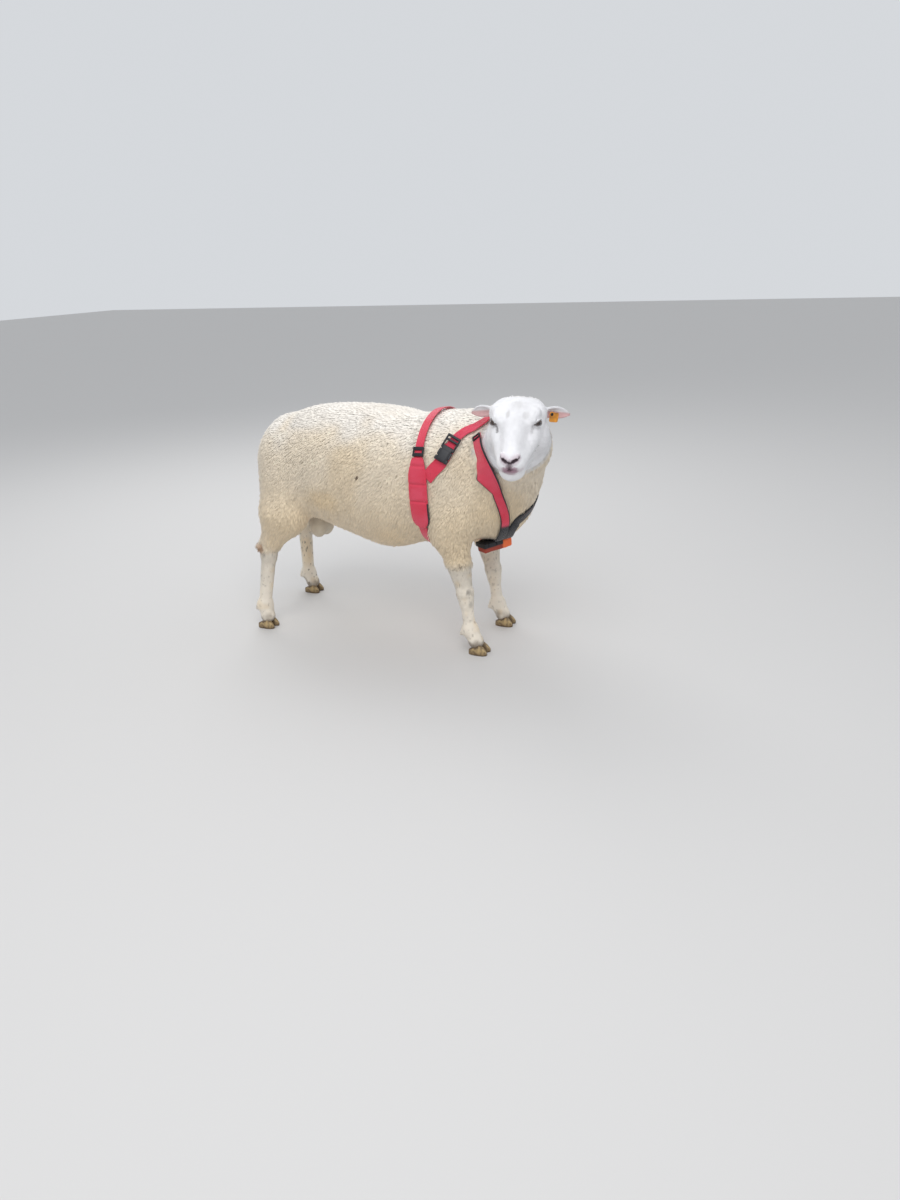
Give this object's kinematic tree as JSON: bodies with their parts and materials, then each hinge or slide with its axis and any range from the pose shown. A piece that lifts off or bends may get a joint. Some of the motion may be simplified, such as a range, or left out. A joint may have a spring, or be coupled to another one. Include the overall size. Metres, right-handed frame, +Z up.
{
  "type": "sheep",
  "caption": "Standing polled ram with short dense fleece, its head turned to its right, in a buckled webbing harness with a crayon on the brisket, and a plain ear tag.",
  "frame": {"origin": "on the floor under the middle of the bounding box", "axes": "+X along the body towards the breast, +Y to the animal's left, +Z up; the face looks towards -Y"},
  "size_m": [1.1188, 0.5292, 0.802],
  "materials": {
    "fleece": "matte",
    "short_hair": "matte",
    "bare_skin": "matte",
    "claw_horn": "satin",
    "eye": "gloss",
    "harness_webbing": "matte",
    "harness_plastic": "satin",
    "crayon": "matte",
    "tag_plastic": "satin"
  },
  "bodies": {
    "root": {"trunk": "fleece", "neck": "fleece", "head": "short_hair", "tail": "fleece", "scrotum": "bare_skin", "foreleg_right": "short_hair", "claw_foreleg_right_outer": "claw_horn", "claw_foreleg_right_inner": "claw_horn", "foreleg_left": "short_hair", "claw_foreleg_left_outer": "claw_horn", "claw_foreleg_left_inner": "claw_horn", "hindleg_right": "short_hair", "claw_hindleg_right_outer": "claw_horn", "claw_hindleg_right_inner": "claw_horn", "hindleg_left": "short_hair", "claw_hindleg_left_outer": "claw_horn", "claw_hindleg_left_inner": "claw_horn", "ear_left": "short_hair", "eye_left": "eye", "ear_right": "short_hair", "eye_right": "eye", "harness_sleeve_right": "harness_webbing", "harness_sleeve_left": "harness_webbing", "harness_yoke": "harness_webbing", "harness_girth_top": "harness_webbing", "harness_girth_under": "harness_webbing", "harness_collar_right": "harness_webbing", "harness_collar_left": "harness_webbing", "harness_breast_strap": "harness_webbing", "harness_slide_left": "harness_plastic", "harness_buckle_left": "harness_plastic", "harness_ring_left": "harness_plastic", "harness_slide_right": "harness_plastic", "harness_buckle_right": "harness_plastic", "harness_ring_right": "harness_plastic", "harness_crayon": "crayon", "harness_crayon_holder": "harness_plastic", "ear_tag": "tag_plastic"}
  },
  "joints": []
}
